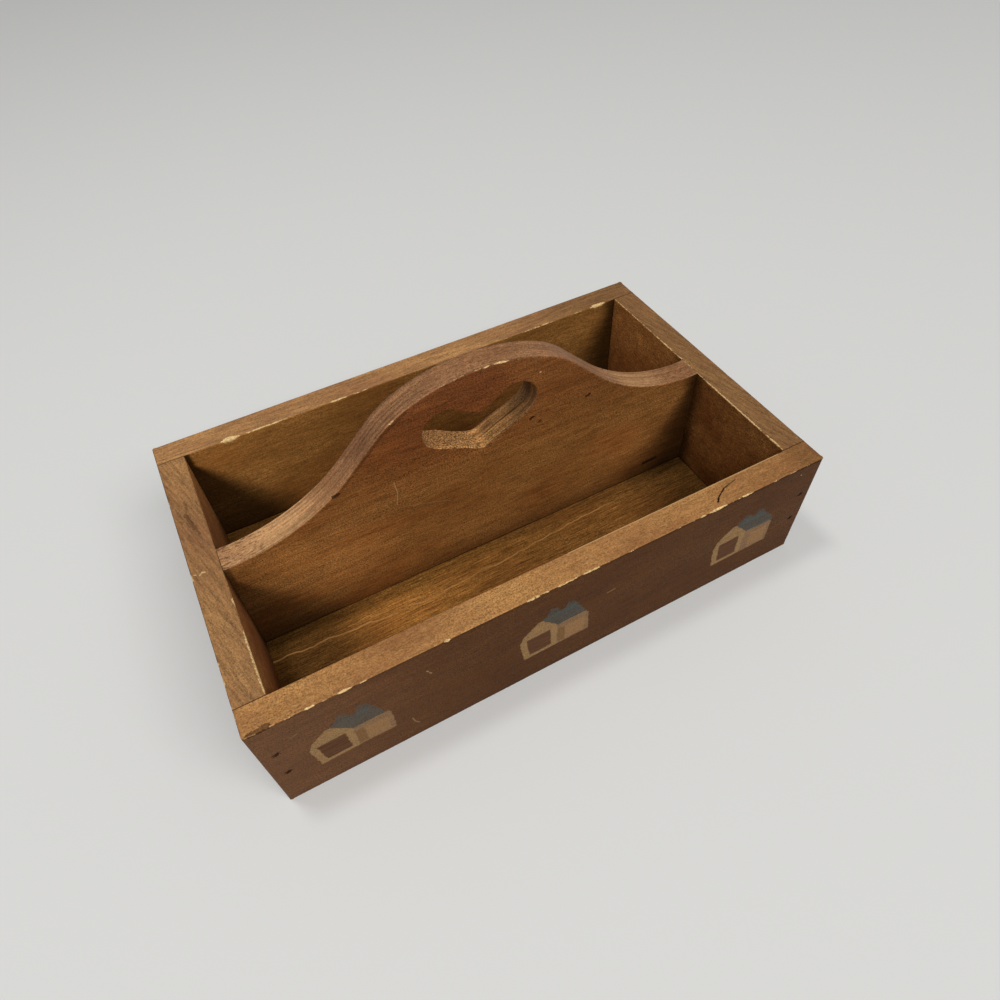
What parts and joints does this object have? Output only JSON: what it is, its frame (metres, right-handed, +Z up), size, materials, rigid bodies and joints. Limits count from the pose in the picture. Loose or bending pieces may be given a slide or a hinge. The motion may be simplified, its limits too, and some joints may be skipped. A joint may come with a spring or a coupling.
{
  "type": "utensil caddy",
  "caption": "Open wooden utensil caddy: a nailed tray split by a tall divider that rises in an ogee curve to a carrying handle with a heart-shaped hand-hole.",
  "frame": {"origin": "centre of the underside", "axes": "+X along the long walls, towards the right when facing the painted front; -Y towards the painted front; +Z up"},
  "size_m": [0.406, 0.245, 0.182],
  "materials": {
    "front_wood": "dark brown stained softwood with stencilled houses, satin, worn pale along the edges",
    "wall_wood": "brown stained softwood, satin, lighter on the rim",
    "divider_wood": "warm brown stained softwood, satin, paler sawn edge",
    "floor_wood": "brown stained thin panel with straight grain, satin",
    "nail_steel": "dull, darkened steel"
  },
  "bodies": {
    "root": {"front_board": "front_wood", "rear_board": "wall_wood", "left_end_board": "wall_wood", "right_end_board": "wall_wood", "divider_handle": "divider_wood", "floor_panel": "floor_wood", "front_left_corner_nails": "nail_steel", "front_right_corner_nails": "nail_steel", "rear_left_corner_nails": "nail_steel", "rear_right_corner_nails": "nail_steel", "left_divider_nails": "nail_steel", "right_divider_nails": "nail_steel", "front_floor_brads": "nail_steel", "rear_floor_brads": "nail_steel", "left_floor_brads": "nail_steel", "right_floor_brads": "nail_steel", "divider_floor_brads": "nail_steel"}
  },
  "joints": []
}
